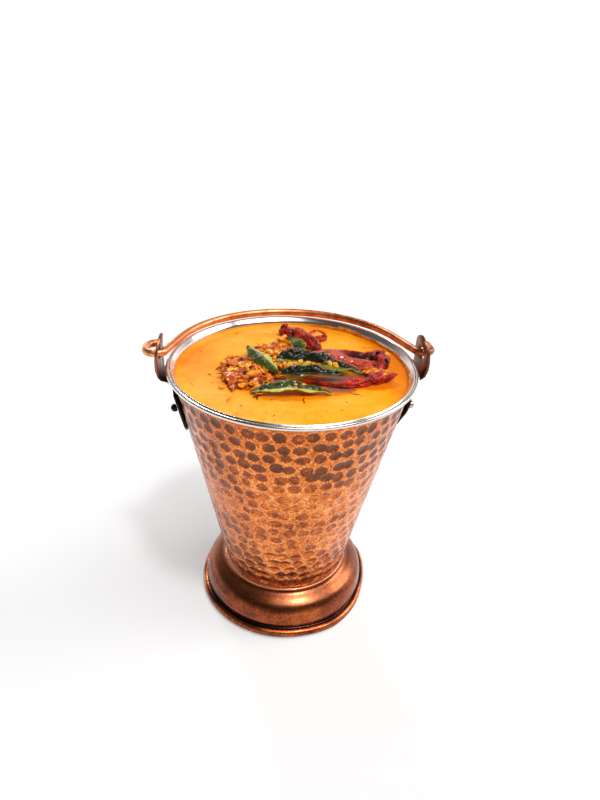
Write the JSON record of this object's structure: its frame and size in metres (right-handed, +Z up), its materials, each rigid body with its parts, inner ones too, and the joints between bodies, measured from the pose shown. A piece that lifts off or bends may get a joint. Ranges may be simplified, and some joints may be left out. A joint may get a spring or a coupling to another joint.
{
  "type": "dal tadka in a serving bucket",
  "caption": "Dal tadka with curry leaves, dried chillies and fried masala, in a small hammered metal serving bucket with a spun foot and a swinging wire handle.",
  "frame": {"origin": "on the floor, under the middle of the object's box, which is the bucket's own axis to within half a millimetre", "axes": "+Z up out of the bucket, the longest extent; the handle's two ears and its hinge lie along X; the handle lies over the rim's +Y side at rest"},
  "size_m": [0.1298, 0.11, 0.1394],
  "materials": {
    "hammered_copper": "hammered copper, polished on the high spots",
    "aged_copper": "tarnished copper",
    "steel": "polished stainless steel",
    "dal": null,
    "curry_leaf": null,
    "dried_chilli": null,
    "fried_masala": null
  },
  "bodies": {
    "bucket": {"chilli_back": "dried_chilli", "chilli_broad": "dried_chilli", "chilli_front": "dried_chilli", "chilli_ring": "dried_chilli", "copper_wall": "hammered_copper", "curry_leaf_back": "curry_leaf", "curry_leaf_dark": "curry_leaf", "curry_leaf_front": "curry_leaf", "curry_leaf_large": "curry_leaf", "curry_leaf_left": "curry_leaf", "dal": "dal", "ear_left": "aged_copper", "ear_right": "aged_copper", "foot": "hammered_copper", "masala_back": "fried_masala", "masala_front": "fried_masala", "masala_right": "fried_masala", "rivet_left_back": "hammered_copper", "rivet_left_front": "hammered_copper", "rivet_right_back": "hammered_copper", "rivet_right_front": "hammered_copper", "steel_lining": "steel"},
    "bail": {"bail": "hammered_copper"}
  },
  "joints": [
    {"name": "bail_swing", "type": "hinge", "parent": "bucket", "child": "bail", "pos_m": [0, 0, 0.1311], "axis": [1, 0, 0], "range_deg": [0, 183]}
  ]
}
